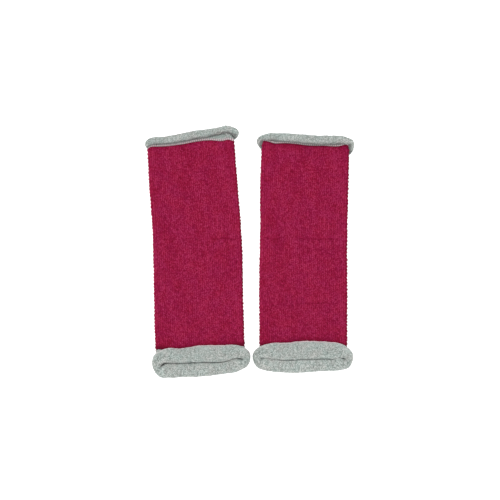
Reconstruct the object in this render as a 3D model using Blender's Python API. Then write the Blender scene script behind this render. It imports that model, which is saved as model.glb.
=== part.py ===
"""A pair of knitted wrist warmers lying flat, side by side.

Each warmer is one tube of fine plain knit, pressed flat into an upper and a
lower layer, with a contrasting band knitted on at each end. Plain knit curls
towards its right side, so each band has rolled outwards into a soft rim all
round the mouth. The rim of the lower layer lies on the table and holds the end
of the tube up a little; the middle of the tube lies flat.

Sizes below are in millimetres. In a warmer's own frame +Y runs along the tube
from the lower end (y = 0 is where its band begins) to the upper end, +X is
across it and z = 0 is the table.

Places round the tube are given as a share of the way round: 0 is the left
side fold, 0.25 the middle of the upper layer, 0.5 the right side fold and
0.75 the middle of the lower layer.
"""

import math

import bpy
import numpy as np

MM = 0.001

# ---- the cloth ----
WALL = 1.5  # thickness of the knit
FOLD_R = 1.5  # radius of the side folds, to the middle of the wall
LAYER_GAP = 0.6  # air between the two layers where they lie on each other
FOLD_RUN = 10.0  # how far in from a side fold the upper layer reaches that gap
SEAM = 0.3  # clearance between a tube and its bands
SIDE_TURN = 0.085  # share of the way round over which a rim turns to a side fold

# ---- the mesh ----
ACROSS = (0.0, 0.03, 0.07, 0.12, 0.20, 0.31, 0.43, 0.57, 0.69, 0.80, 0.88, 0.93, 0.97)
FOLD_STEPS = 5
ALONG = (0.0, 0.05, 0.10, 0.15, 0.21, 0.28, 0.50, 0.76, 0.84, 0.92, 1.0)
ROLL_STEPS = 8

# ---- the two warmers ----
# at: where the middle of the lower band line lies; turn: degrees about +Z;
# length: from band line to band line along the middle.
# spine: how the tube's centre line wanders, and its half width, by share of the
# length.
# lower_line, upper_line: how far the band line lies beyond (+Y) its plain place.
# lower_rim, upper_rim, by share of the way round:
#   flat  length of the band before it curls
#   deep  half the rim's extent along the tube, to the middle of the wall
#   high  half its extent away from the tube, to the middle of the wall
# narrow: how far the lower and the upper band draw in at each side, under the
# rim.
# side_back: how far behind each side fold a rim still faces sideways, as a share
# of the way round, at the left and the right side.
WARMERS = {
    "left": {
        "at": (-50.1, -105.4),
        "turn": 3.0,
        "length": 216.9,
        "spine": (
            # share, centre_x, half_width
            (0.00, 0.2, 44.5),
            (0.10, 0.6, 44.7),
            (0.25, 1.5, 44.5),
            (0.45, 3.1, 44.6),
            (0.60, 3.5, 44.2),
            (0.80, 2.6, 44.2),
            (1.00, 2.1, 43.7),
        ),
        "lower_line": (
            # round, forward
            (0.00, -2.6),
            (0.05, -2.4),
            (0.12, -3.4),
            (0.25, -2.2),
            (0.40, -2.6),
            (0.46, -2.4),
            (0.50, -3.0),
            (0.55, -7.1),
            (0.62, -8.4),
            (0.75, -9.2),
            (0.88, -9.2),
            (0.94, -9.2),
            (0.97, -8.0),
        ),
        "upper_line": (
            (0.00, -4.4),
            (0.015, -2.4),
            (0.03, -1.9),
            (0.07, -2.2),
            (0.13, -1.9),
            (0.20, -0.8),
            (0.28, 1.2),
            (0.36, 1.9),
            (0.43, 0.4),
            (0.47, 1.0),
            (0.50, -1.2),
            (0.53, -4.6),
            (0.57, -6.5),
            (0.62, -7.5),
            (0.75, -6.8),
            (0.90, -7.6),
            (0.94, -8.8),
            (0.97, -6.6),
        ),
        "lower_rim": (
            # round, flat, deep, high
            (0.00, 13.0, 7.3, 4.3),
            (0.05, 9.6, 7.8, 4.6),
            (0.12, 9.5, 7.9, 4.6),
            (0.25, 8.9, 8.7, 4.6),
            (0.40, 9.1, 8.2, 4.5),
            (0.46, 9.2, 7.2, 4.6),
            (0.50, 11.6, 6.8, 4.6),
            (0.60, 10.6, 8.2, 4.1),
            (0.75, 11.4, 8.4, 4.1),
            (0.90, 11.4, 8.6, 4.1),
            (0.96, 11.8, 9.2, 4.1),
        ),
        "upper_rim": (
            (0.00, 5.0, 2.8, 2.8),
            (0.04, 5.5, 2.9, 2.6),
            (0.10, 5.8, 3.2, 2.7),
            (0.20, 6.2, 3.5, 2.9),
            (0.28, 6.3, 3.4, 2.9),
            (0.36, 6.6, 3.2, 2.7),
            (0.40, 8.6, 3.0, 2.6),
            (0.44, 10.0, 2.9, 2.6),
            (0.47, 10.4, 3.0, 2.9),
            (0.50, 9.4, 3.3, 4.2),
            (0.60, 7.1, 3.2, 2.8),
            (0.75, 6.1, 3.4, 2.7),
            (0.90, 5.7, 3.4, 2.7),
        ),
        "narrow": (4.0, 2.6),
        "side_back": {"lower": (0.0, 0.0), "upper": (0.02, 0.02)},
    },
    "right": {
        "at": (53.4, -103.3),
        "turn": -0.6,
        "length": 212.4,
        "spine": (
            (0.00, -0.1, 43.8),
            (0.10, -0.3, 43.9),
            (0.25, -0.7, 44.1),
            (0.45, -1.0, 43.8),
            (0.60, -0.9, 43.6),
            (0.80, -0.9, 44.1),
            (1.00, -0.1, 43.8),
        ),
        "lower_line": (
            (0.00, -4.4),
            (0.05, -2.6),
            (0.14, -1.0),
            (0.25, 1.0),
            (0.36, 0.8),
            (0.43, -0.4),
            (0.47, -2.6),
            (0.50, -4.8),
            (0.55, -6.8),
            (0.62, -6.5),
            (0.75, -7.4),
            (0.88, -8.0),
            (0.95, -7.6),
        ),
        "upper_line": (
            (0.00, -2.4),
            (0.04, 1.6),
            (0.08, 1.4),
            (0.14, 0.8),
            (0.25, -0.2),
            (0.35, -1.2),
            (0.44, -1.0),
            (0.462, -0.4),
            (0.50, -4.6),
            (0.54, -9.4),
            (0.58, -10.8),
            (0.62, -9.6),
            (0.75, -7.0),
            (0.90, -6.8),
            (0.95, -8.2),
            (0.975, -6.4),
        ),
        "lower_rim": (
            (0.00, 11.2, 7.0, 5.1),
            (0.05, 9.2, 7.9, 5.0),
            (0.14, 10.9, 9.6, 4.9),
            (0.25, 10.8, 10.0, 4.9),
            (0.36, 10.5, 9.7, 4.8),
            (0.43, 10.0, 9.2, 4.8),
            (0.47, 8.8, 7.7, 4.8),
            (0.50, 10.4, 7.0, 4.9),
            (0.60, 10.4, 8.2, 4.1),
            (0.75, 11.0, 8.6, 4.1),
            (0.90, 10.8, 8.4, 4.1),
        ),
        "upper_rim": (
            (0.00, 6.0, 3.5, 4.2),
            (0.05, 5.6, 3.2, 2.8),
            (0.14, 5.7, 3.8, 3.0),
            (0.25, 5.4, 4.0, 3.0),
            (0.35, 5.6, 3.9, 3.0),
            (0.42, 6.2, 3.8, 2.9),
            (0.46, 5.4, 3.6, 2.9),
            (0.50, 5.9, 3.9, 4.2),
            (0.55, 6.9, 3.5, 3.6),
            (0.60, 5.9, 3.6, 3.0),
            (0.75, 5.9, 3.6, 3.0),
            (0.90, 5.7, 3.6, 3.0),
        ),
        "narrow": (3.4, 2.4),
        "side_back": {"lower": (0.0, 0.0), "upper": (0.02, 0.02)},
    },
}
# How high a rolled rim holds the tube's end, and how far in the lift reaches.
LIFT = {"lower": (8.7, 56.0), "upper": (6.3, 44.0)}
TURN = {"lower": 300.0, "upper": 296.0}  # degrees that a band has curled
LIP = 3.6  # how far the lower layer's rim at the lower end puffs up to the upper one
TIGHTEN = 0.10  # how much smaller a roll is when it has curled right round

COLOURS = {
    "raspberry_knit": (0.33, 0.011, 0.052, 1.0),
    "silver_grey_knit": (0.40, 0.44, 0.41, 1.0),
}


def smooth(t):
    t = np.clip(t, 0.0, 1.0)
    return t * t * (3 - 2 * t)


def lookup(rows, at, column, round_it=False):
    """A column of a short table, with an even curve through its rows. Where
    round_it is set the table is one lap of the tube."""
    x = [r[0] for r in rows]
    v = [r[column] for r in rows]
    if round_it:
        x = [k - 1 for k in x] + x + [k + 1 for k in x]
        v = v * 3
        at = np.mod(at, 1.0)
    x, v = np.array(x, float), np.array(v, float)
    m = np.gradient(v, x)
    i = np.clip(np.searchsorted(x, at, side="right") - 1, 0, len(x) - 2)
    h = x[i + 1] - x[i]
    t = np.clip((at - x[i]) / h, 0.0, 1.0)
    a, b = 2 * t**3 - 3 * t**2 + 1, t**3 - 2 * t**2 + t
    c, d = -2 * t**3 + 3 * t**2, t**3 - t**2
    return a * v[i] + b * h * m[i] + c * v[i + 1] + d * h * m[i + 1]


def section(share, half_width):
    """The flattened tube across: x from its centre line, and height above the
    middle of the lower layer's wall."""
    share = np.mod(share, 1.0)
    flat = half_width - WALL / 2 - FOLD_R
    straight, arc = 2 * flat, math.pi * FOLD_R
    s = share * 2 * (straight + arc)
    marks = np.array([0.5 * arc, 0.5 * arc, 1.5 * arc, 1.5 * arc])
    marks = marks + np.multiply.outer(straight, np.array([0, 1, 1, 2])).reshape(
        np.shape(straight) + (4,)
    )
    m0, m1, m2, m3 = (marks[..., k] for k in range(4))
    a0 = s / FOLD_R
    a1 = (s - m1) / FOLD_R
    a2 = (s - m3) / FOLD_R
    x = np.select(
        [s < m0, s < m1, s < m2, s < m3],
        [
            -flat - FOLD_R * np.cos(a0),
            -flat + (s - m0),
            flat + FOLD_R * np.sin(a1),
            flat - (s - m2),
        ],
        -flat - FOLD_R * np.sin(a2),
    )
    z = np.select(
        [s < m0, s < m1, s < m2, s < m3],
        [
            FOLD_R * (1 + np.sin(a0)),
            2 * FOLD_R + 0 * s,
            FOLD_R * (1 + np.cos(a1)),
            0 * s,
        ],
        FOLD_R * (1 - np.cos(a2)),
    )
    upper = (s >= m0) & (s <= m1)
    sag = 2 * FOLD_R - WALL - LAYER_GAP
    return x, z - np.where(upper, sag * smooth((flat - np.abs(x)) / FOLD_RUN), 0.0)


def across_normal(share, half_width):
    """The cloth's outward direction across the tube, as (x, height)."""
    step = 2e-4
    x0, z0 = section(share - step, half_width)
    x1, z1 = section(share + step, half_width)
    dx, dz = x1 - x0, z1 - z0
    n = np.hypot(dx, dz)
    return -dz / n, dx / n


def rim_direction(w, share, end):
    """The way a band rolls: up from the upper layer, down from the lower one,
    and evenly round each side between them."""
    share = np.mod(share, 1.0)
    left = (share < 0.25) | (share > 0.75)
    ahead = np.where(left, np.mod(share + 0.5, 1.0) - 0.5, 0.5 - share)
    back = w["side_back"][end]
    ahead = ahead + np.where(left, back[0], back[1])
    angle = math.pi * (smooth(0.5 + 0.5 * ahead / SIDE_TURN) - 0.5)
    return np.where(left, -1.0, 1.0) * np.cos(angle), np.sin(angle)


def lines(w, share):
    """Where the two band lines lie along the tube."""
    low = lookup(w["lower_line"], share, 1, True)
    high = w["length"] + lookup(w["upper_line"], share, 1, True)
    return low, high


def slant(w, name, share):
    """How much longer a band line is there than if it ran straight across."""
    step = 1e-3
    rows = w[name]
    rise = lookup(rows, share + step, 1, True) - lookup(rows, share - step, 1, True)
    return np.sqrt(1 + (rise / (2 * step * 4 * w["spine"][3][2])) ** 2)


def lift(w, y):
    """Height of the lower layer's underside, and its slope along the tube."""
    total, slope = 0.0 * y, 0.0 * y
    for end, way in (("lower", 1.0), ("upper", -1.0)):
        height, run = LIFT[end]
        low, high = lines(w, np.array([0.75]))
        flat = lookup(w[end + "_rim"], np.array([0.75]), 1, True)[0]
        start = low[0] - flat if end == "lower" else high[0] + flat
        t = np.maximum(1 - way * (y - start) / run, 0.0)
        total = total + height * t**2
        slope = slope - way * 2 * height * t / run
    return total, slope


def placed(w, x, y, z):
    """From the flattened tube's own x, y and height to the warmer's frame."""
    up, slope = lift(w, y)
    n = np.sqrt(1 + slope**2)
    return np.stack([x, y - z * slope / n, up + WALL / 2 + z / n], -1)


def spine(w, y):
    share = np.clip(y / w["length"], 0.0, 1.0)
    return lookup(w["spine"], share, 1), lookup(w["spine"], share, 2)


def tube_points(w, share, along, out):
    """Points of the tube's wall: share round, along from one band line to the
    other, out from the middle of the wall."""
    low, high = lines(w, share)
    low = low + SEAM * (slant(w, "lower_line", share) - 0.5)
    high = high - SEAM * (slant(w, "upper_line", share) - 0.5)
    y = low + along * (high - low)
    centre, half = spine(w, y)
    x, z = section(share, half)
    nx, nz = across_normal(share, half)
    return placed(w, centre + x + out * nx, y, z + out * nz)


def roll(flat, deep, high, turn, steps):
    """The band in section: (along, away) of the middle of its wall, then the
    same for the direction of the side that ends up inside the roll, and the
    length of cloth up to each point."""
    angle = -0.5 * math.pi + np.radians(turn) * np.linspace(0, 1, steps + 1)
    small = 1 - TIGHTEN * (angle + 0.5 * math.pi) / (2 * math.pi)
    a = flat[:, None] + deep[:, None] * np.cos(angle) * small
    n = high[:, None] * (1 + np.sin(angle) * small)
    n = n - n[:, :1]
    begin = SEAM / 2 + (flat[:, None] - SEAM / 2) * np.array([0.0, 0.35, 0.7])
    a = np.concatenate([begin, a], 1)
    n = np.concatenate([0 * begin, n], 1)
    da, dn = np.gradient(a, axis=1), np.gradient(n, axis=1)
    size = np.hypot(da, dn)
    run = np.concatenate(
        [a[:, :1] * 0, np.cumsum(np.hypot(np.diff(a), np.diff(n)), 1)], 1
    )
    return a, n, -dn / size, da / size, run


def lip(w, share, line, a, fullness):
    """How far up the lower layer's band stands at the lower end, to meet the
    rim of the upper layer. Taken up to where the rim turns back."""
    above = 1 - np.mod(share, 1.0)
    flat, deep = (lookup(w["lower_rim"], above, k, True) for k in (1, 2))
    upper_line = lookup(w["lower_line"], above, 1, True)
    edge = (line - upper_line + flat + deep + WALL / 2)[:, None]
    inward = np.minimum(np.mod(share, 1.0) - 0.5, above)
    inward = smooth((inward - 0.004) / 0.036)[:, None]
    front = a.max(1, keepdims=True)
    rise = smooth((a - edge + 3.0) / 3.5)
    past = np.clip((a - edge - 0.5) / np.maximum(front - edge - 0.5, 0.1), 0, 1)
    before = np.arange(a.shape[1]) <= a.argmax(1)[:, None]
    return LIP * fullness * inward * rise * (1 - past**2) * before


def rim_points(w, end, share, out, steps):
    """Points of a rolled band's wall, a row for each place round the tube."""
    table = w[end + "_rim"]
    flat, deep, high = (lookup(table, share, k, True) for k in (1, 2, 3))
    a, n, ia, inn, run = roll(flat, deep, high, TURN[end], steps)
    low, top = lines(w, share)
    line, way = (low, -1.0) if end == "lower" else (top, 1.0)
    share = share[:, None]
    y = line[:, None] + way * (a + out * ia)
    centre, half = spine(w, line[:, None] + 0 * a)
    x, z = section(share + 0 * a, half)
    gx, gz = across_normal(share + 0 * a, half)
    rx, rz = rim_direction(w, share + 0 * a, end)
    t = smooth(run / np.minimum(flat, 6.0)[:, None])
    dx, dz = gx * (1 - t) + rx * t, gz * (1 - t) + rz * t
    size = np.hypot(dx, dz)
    away = n + out * inn
    narrow = w["narrow"][0 if end == "lower" else 1]
    x = x * (1 - narrow / half * smooth(run / flat[:, None]))
    puff = lip(w, share[:, 0], line, a, 1.0) if end == "lower" else 0.0
    p = placed(w, centre + x + away * dx / size, y, z + away * dz / size + puff)
    floor = 0.0 if out < 0 else 0.85 * WALL
    p[..., 2] = np.maximum(p[..., 2], floor)
    return p


def round_shares(w):
    """The places round the tube that the mesh uses."""
    half = w["spine"][3][2]
    flat = half - WALL / 2 - FOLD_R
    total = 4 * flat + 2 * math.pi * FOLD_R
    fold = math.pi * FOLD_R / total
    straight = 2 * flat / total
    upper = [fold / 2 + straight * k for k in ACROSS]
    right = [0.5 - fold / 2 + fold * k / FOLD_STEPS for k in range(FOLD_STEPS)]
    lap = upper + right
    return np.array(lap + [k + 0.5 for k in lap])


def ring_wall(name, outer, inner, material, parent):
    """A closed wall from two grids of points, [round, along], which share their
    first and last rows' rims."""
    rounds, rows = outer.shape[:2]
    points = np.concatenate([outer.reshape(-1, 3), inner.reshape(-1, 3)]) * MM
    faces = []
    half = rounds * rows
    for i in range(rounds):
        j = (i + 1) % rounds
        for k in range(rows - 1):
            a, b = i * rows + k, j * rows + k
            faces.append((a, b, b + 1, a + 1))
            faces.append((half + a, half + a + 1, half + b + 1, half + b))
        a, b = i * rows, j * rows
        faces.append((a, half + a, half + b, b))
        a, b = a + rows - 1, b + rows - 1
        faces.append((a, b, half + b, half + a))
    mesh = bpy.data.meshes.new(name)
    mesh.from_pydata(points.tolist(), [], faces)
    mesh.materials.append(material)
    mesh.shade_smooth()
    mesh.update()
    piece = bpy.data.objects.new(name, mesh)
    bpy.context.scene.collection.objects.link(piece)
    piece.parent = parent
    return piece


def knit(name):
    material = bpy.data.materials.new(name)
    material.use_nodes = True
    shader = material.node_tree.nodes["Principled BSDF"]
    shader.inputs["Base Color"].default_value = COLOURS[name]
    shader.inputs["Roughness"].default_value = 0.9
    shader.inputs["Metallic"].default_value = 0.0
    material.diffuse_color = COLOURS[name]
    return material


def main():
    for old in list(bpy.data.objects):
        bpy.data.objects.remove(old)
    raspberry, silver = knit("raspberry_knit"), knit("silver_grey_knit")
    holders, low, high = [], np.full(3, 1e9), np.full(3, -1e9)
    for side, w in WARMERS.items():
        holder = bpy.data.objects.new(side + "_warmer", None)
        bpy.context.scene.collection.objects.link(holder)
        holders.append(holder)
        share = round_shares(w)
        g, t = np.meshgrid(share, np.array(ALONG), indexing="ij")
        grids = [
            (
                side + "_tube",
                tube_points(w, g, t, WALL / 2),
                tube_points(w, g, t, -WALL / 2),
                raspberry,
            )
        ]
        for end in ("lower", "upper"):
            inside = rim_points(w, end, share, WALL / 2, ROLL_STEPS)
            outside = rim_points(w, end, share, -WALL / 2, ROLL_STEPS)
            if end == "lower":
                inside, outside = inside[:, ::-1], outside[:, ::-1]
            grids.append((f"{side}_{end}_cuff", inside, outside, silver))
        angle = math.radians(w["turn"])
        turn = np.array(
            [
                [math.cos(angle), -math.sin(angle), 0],
                [math.sin(angle), math.cos(angle), 0],
                [0, 0, 1],
            ]
        )
        move = np.array([*w["at"], 0.0])
        for name, outer, inner, material in grids:
            ring_wall(name, outer, inner, material, holder)
            world = np.concatenate([outer.reshape(-1, 3), inner.reshape(-1, 3)])
            world = world @ turn.T + move
            low, high = np.minimum(low, world.min(0)), np.maximum(high, world.max(0))
        holder.location = (move * MM).tolist()
        holder.rotation_euler = (0.0, 0.0, angle)
    # The origin is on the table, below the middle of the pair.
    middle = (low + high) / 2 * MM
    for holder in holders:
        holder.location.x -= middle[0]
        holder.location.y -= middle[1]
    print("middle of the pair, mm:", np.round(middle / MM, 3), "low", low, "high", high)
    bpy.context.view_layer.update()


main()
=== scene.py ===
"""A pair of knitted wrist warmers lying flat, side by side: the finished look.

Each warmer is one tube of fine plain knit with a silver-grey band at each end
that has curled outwards into a soft rolled rim. The stitches are modelled: on
the tubes each one is a V whose two legs stand up from the cloth, and on the
rims, where the back of the knit shows, each one is a pair of small bumps.

Sizes below are in millimetres, in a warmer's own frame: +Y along the tube from
the lower end (y = 0 is where its band begins) to the upper end, +X across it,
z = 0 the table. Places round the tube are given as a share of the way round:
0 is the left side fold, 0.25 the middle of the upper layer, 0.5 the right side
fold and 0.75 the middle of the lower layer.
"""

import math

import bpy
import numpy as np
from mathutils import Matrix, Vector


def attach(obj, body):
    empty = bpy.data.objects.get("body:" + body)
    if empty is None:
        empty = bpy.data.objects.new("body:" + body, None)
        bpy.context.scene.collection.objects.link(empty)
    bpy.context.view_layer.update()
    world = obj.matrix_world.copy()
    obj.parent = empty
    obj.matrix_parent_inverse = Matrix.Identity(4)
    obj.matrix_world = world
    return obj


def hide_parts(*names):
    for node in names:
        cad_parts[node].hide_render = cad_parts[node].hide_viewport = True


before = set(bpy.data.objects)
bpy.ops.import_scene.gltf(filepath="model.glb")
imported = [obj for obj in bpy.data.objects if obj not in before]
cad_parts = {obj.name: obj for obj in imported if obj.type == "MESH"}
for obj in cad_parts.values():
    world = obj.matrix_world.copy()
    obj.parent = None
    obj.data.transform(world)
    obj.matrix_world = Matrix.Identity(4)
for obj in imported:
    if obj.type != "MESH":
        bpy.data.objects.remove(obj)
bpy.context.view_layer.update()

MM = 0.001

# ---- the cloth ----
WALL = 1.5  # thickness of the knit
FOLD_R = 1.5  # radius of the side folds, to the middle of the wall
LAYER_GAP = 0.6  # air between the two layers where they lie on each other
FOLD_RUN = 10.0  # how far in from a side fold the upper layer reaches that gap
SEAM = 0.3  # clearance between a tube and its bands
SIDE_TURN = 0.085  # share of the way round over which a rim turns to a side fold

# ---- the mesh ----
ACROSS = (0.0, 0.03, 0.07, 0.12, 0.20, 0.31, 0.43, 0.57, 0.69, 0.80, 0.88, 0.93, 0.97)
FOLD_STEPS = 5
ALONG = (0.0, 0.05, 0.10, 0.15, 0.21, 0.28, 0.50, 0.76, 0.84, 0.92, 1.0)
ROLL_STEPS = 8

# ---- the two warmers ----
# at: where the middle of the lower band line lies; turn: degrees about +Z;
# length: from band line to band line along the middle.
# spine: how the tube's centre line wanders, and its half width, by share of the
# length.
# lower_line, upper_line: how far the band line lies beyond (+Y) its plain place.
# lower_rim, upper_rim, by share of the way round:
#   flat  length of the band before it curls
#   deep  half the rim's extent along the tube, to the middle of the wall
#   high  half its extent away from the tube, to the middle of the wall
# narrow: how far the lower and the upper band draw in at each side, under the
# rim.
# side_back: how far behind each side fold a rim still faces sideways, as a share
# of the way round, at the left and the right side.
WARMERS = {
    "left": {
        "at": (-50.1, -105.4),
        "turn": 3.0,
        "length": 216.9,
        "spine": (
            # share, centre_x, half_width
            (0.00, 0.2, 44.5),
            (0.10, 0.6, 44.7),
            (0.25, 1.5, 44.5),
            (0.45, 3.1, 44.6),
            (0.60, 3.5, 44.2),
            (0.80, 2.6, 44.2),
            (1.00, 2.1, 43.7),
        ),
        "lower_line": (
            # round, forward
            (0.00, -2.6),
            (0.05, -2.4),
            (0.12, -3.4),
            (0.25, -2.2),
            (0.40, -2.6),
            (0.46, -2.4),
            (0.50, -3.0),
            (0.55, -7.1),
            (0.62, -8.4),
            (0.75, -9.2),
            (0.88, -9.2),
            (0.94, -9.2),
            (0.97, -8.0),
        ),
        "upper_line": (
            (0.00, -4.4),
            (0.015, -2.4),
            (0.03, -1.9),
            (0.07, -2.2),
            (0.13, -1.9),
            (0.20, -0.8),
            (0.28, 1.2),
            (0.36, 1.9),
            (0.43, 0.4),
            (0.47, 1.0),
            (0.50, -1.2),
            (0.53, -4.6),
            (0.57, -6.5),
            (0.62, -7.5),
            (0.75, -6.8),
            (0.90, -7.6),
            (0.94, -8.8),
            (0.97, -6.6),
        ),
        "lower_rim": (
            # round, flat, deep, high
            (0.00, 13.0, 7.3, 4.3),
            (0.05, 9.6, 7.8, 4.6),
            (0.12, 9.5, 7.9, 4.6),
            (0.25, 8.9, 8.7, 4.6),
            (0.40, 9.1, 8.2, 4.5),
            (0.46, 9.2, 7.2, 4.6),
            (0.50, 11.6, 6.8, 4.6),
            (0.60, 10.6, 8.2, 4.1),
            (0.75, 11.4, 8.4, 4.1),
            (0.90, 11.4, 8.6, 4.1),
            (0.96, 11.8, 9.2, 4.1),
        ),
        "upper_rim": (
            (0.00, 5.0, 2.8, 2.8),
            (0.04, 5.5, 2.9, 2.6),
            (0.10, 5.8, 3.2, 2.7),
            (0.20, 6.2, 3.5, 2.9),
            (0.28, 6.3, 3.4, 2.9),
            (0.36, 6.6, 3.2, 2.7),
            (0.40, 8.6, 3.0, 2.6),
            (0.44, 10.0, 2.9, 2.6),
            (0.47, 10.4, 3.0, 2.9),
            (0.50, 9.4, 3.3, 4.2),
            (0.60, 7.1, 3.2, 2.8),
            (0.75, 6.1, 3.4, 2.7),
            (0.90, 5.7, 3.4, 2.7),
        ),
        "narrow": (4.0, 2.6),
        "side_back": {"lower": (0.0, 0.0), "upper": (0.02, 0.02)},
    },
    "right": {
        "at": (53.4, -103.3),
        "turn": -0.6,
        "length": 212.4,
        "spine": (
            (0.00, -0.1, 43.8),
            (0.10, -0.3, 43.9),
            (0.25, -0.7, 44.1),
            (0.45, -1.0, 43.8),
            (0.60, -0.9, 43.6),
            (0.80, -0.9, 44.1),
            (1.00, -0.1, 43.8),
        ),
        "lower_line": (
            (0.00, -4.4),
            (0.05, -2.6),
            (0.14, -1.0),
            (0.25, 1.0),
            (0.36, 0.8),
            (0.43, -0.4),
            (0.47, -2.6),
            (0.50, -4.8),
            (0.55, -6.8),
            (0.62, -6.5),
            (0.75, -7.4),
            (0.88, -8.0),
            (0.95, -7.6),
        ),
        "upper_line": (
            (0.00, -2.4),
            (0.04, 1.6),
            (0.08, 1.4),
            (0.14, 0.8),
            (0.25, -0.2),
            (0.35, -1.2),
            (0.44, -1.0),
            (0.462, -0.4),
            (0.50, -4.6),
            (0.54, -9.4),
            (0.58, -10.8),
            (0.62, -9.6),
            (0.75, -7.0),
            (0.90, -6.8),
            (0.95, -8.2),
            (0.975, -6.4),
        ),
        "lower_rim": (
            (0.00, 11.2, 7.0, 5.1),
            (0.05, 9.2, 7.9, 5.0),
            (0.14, 10.9, 9.6, 4.9),
            (0.25, 10.8, 10.0, 4.9),
            (0.36, 10.5, 9.7, 4.8),
            (0.43, 10.0, 9.2, 4.8),
            (0.47, 8.8, 7.7, 4.8),
            (0.50, 10.4, 7.0, 4.9),
            (0.60, 10.4, 8.2, 4.1),
            (0.75, 11.0, 8.6, 4.1),
            (0.90, 10.8, 8.4, 4.1),
        ),
        "upper_rim": (
            (0.00, 6.0, 3.5, 4.2),
            (0.05, 5.6, 3.2, 2.8),
            (0.14, 5.7, 3.8, 3.0),
            (0.25, 5.4, 4.0, 3.0),
            (0.35, 5.6, 3.9, 3.0),
            (0.42, 6.2, 3.8, 2.9),
            (0.46, 5.4, 3.6, 2.9),
            (0.50, 5.9, 3.9, 4.2),
            (0.55, 6.9, 3.5, 3.6),
            (0.60, 5.9, 3.6, 3.0),
            (0.75, 5.9, 3.6, 3.0),
            (0.90, 5.7, 3.6, 3.0),
        ),
        "narrow": (3.4, 2.4),
        "side_back": {"lower": (0.0, 0.0), "upper": (0.02, 0.02)},
    },
}
# How high a rolled rim holds the tube's end, and how far in the lift reaches.
LIFT = {"lower": (8.7, 56.0), "upper": (6.3, 44.0)}
TURN = {"lower": 300.0, "upper": 296.0}  # degrees that a band has curled
LIP = 3.6  # how far the lower layer's rim at the lower end puffs up to the upper one
TIGHTEN = 0.10  # how much smaller a roll is when it has curled right round

def smooth(t):
    t = np.clip(t, 0.0, 1.0)
    return t * t * (3 - 2 * t)


def lookup(rows, at, column, round_it=False):
    """A column of a short table, with an even curve through its rows. Where
    round_it is set the table is one lap of the tube."""
    x = [r[0] for r in rows]
    v = [r[column] for r in rows]
    if round_it:
        x = [k - 1 for k in x] + x + [k + 1 for k in x]
        v = v * 3
        at = np.mod(at, 1.0)
    x, v = np.array(x, float), np.array(v, float)
    m = np.gradient(v, x)
    i = np.clip(np.searchsorted(x, at, side="right") - 1, 0, len(x) - 2)
    h = x[i + 1] - x[i]
    t = np.clip((at - x[i]) / h, 0.0, 1.0)
    a, b = 2 * t**3 - 3 * t**2 + 1, t**3 - 2 * t**2 + t
    c, d = -2 * t**3 + 3 * t**2, t**3 - t**2
    return a * v[i] + b * h * m[i] + c * v[i + 1] + d * h * m[i + 1]


def section(share, half_width):
    """The flattened tube across: x from its centre line, and height above the
    middle of the lower layer's wall."""
    share = np.mod(share, 1.0)
    flat = half_width - WALL / 2 - FOLD_R
    straight, arc = 2 * flat, math.pi * FOLD_R
    s = share * 2 * (straight + arc)
    marks = np.array([0.5 * arc, 0.5 * arc, 1.5 * arc, 1.5 * arc])
    marks = marks + np.multiply.outer(straight, np.array([0, 1, 1, 2])).reshape(
        np.shape(straight) + (4,)
    )
    m0, m1, m2, m3 = (marks[..., k] for k in range(4))
    a0 = s / FOLD_R
    a1 = (s - m1) / FOLD_R
    a2 = (s - m3) / FOLD_R
    x = np.select(
        [s < m0, s < m1, s < m2, s < m3],
        [
            -flat - FOLD_R * np.cos(a0),
            -flat + (s - m0),
            flat + FOLD_R * np.sin(a1),
            flat - (s - m2),
        ],
        -flat - FOLD_R * np.sin(a2),
    )
    z = np.select(
        [s < m0, s < m1, s < m2, s < m3],
        [
            FOLD_R * (1 + np.sin(a0)),
            2 * FOLD_R + 0 * s,
            FOLD_R * (1 + np.cos(a1)),
            0 * s,
        ],
        FOLD_R * (1 - np.cos(a2)),
    )
    upper = (s >= m0) & (s <= m1)
    sag = 2 * FOLD_R - WALL - LAYER_GAP
    return x, z - np.where(upper, sag * smooth((flat - np.abs(x)) / FOLD_RUN), 0.0)


def across_normal(share, half_width):
    """The cloth's outward direction across the tube, as (x, height)."""
    step = 2e-4
    x0, z0 = section(share - step, half_width)
    x1, z1 = section(share + step, half_width)
    dx, dz = x1 - x0, z1 - z0
    n = np.hypot(dx, dz)
    return -dz / n, dx / n


def rim_direction(w, share, end):
    """The way a band rolls: up from the upper layer, down from the lower one,
    and evenly round each side between them."""
    share = np.mod(share, 1.0)
    left = (share < 0.25) | (share > 0.75)
    ahead = np.where(left, np.mod(share + 0.5, 1.0) - 0.5, 0.5 - share)
    back = w["side_back"][end]
    ahead = ahead + np.where(left, back[0], back[1])
    angle = math.pi * (smooth(0.5 + 0.5 * ahead / SIDE_TURN) - 0.5)
    return np.where(left, -1.0, 1.0) * np.cos(angle), np.sin(angle)


def lines(w, share):
    """Where the two band lines lie along the tube."""
    low = lookup(w["lower_line"], share, 1, True)
    high = w["length"] + lookup(w["upper_line"], share, 1, True)
    return low, high


def slant(w, name, share):
    """How much longer a band line is there than if it ran straight across."""
    step = 1e-3
    rows = w[name]
    rise = lookup(rows, share + step, 1, True) - lookup(rows, share - step, 1, True)
    return np.sqrt(1 + (rise / (2 * step * 4 * w["spine"][3][2])) ** 2)


def lift(w, y):
    """Height of the lower layer's underside, and its slope along the tube."""
    total, slope = 0.0 * y, 0.0 * y
    for end, way in (("lower", 1.0), ("upper", -1.0)):
        height, run = LIFT[end]
        low, high = lines(w, np.array([0.75]))
        flat = lookup(w[end + "_rim"], np.array([0.75]), 1, True)[0]
        start = low[0] - flat if end == "lower" else high[0] + flat
        t = np.maximum(1 - way * (y - start) / run, 0.0)
        total = total + height * t**2
        slope = slope - way * 2 * height * t / run
    return total, slope


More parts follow.
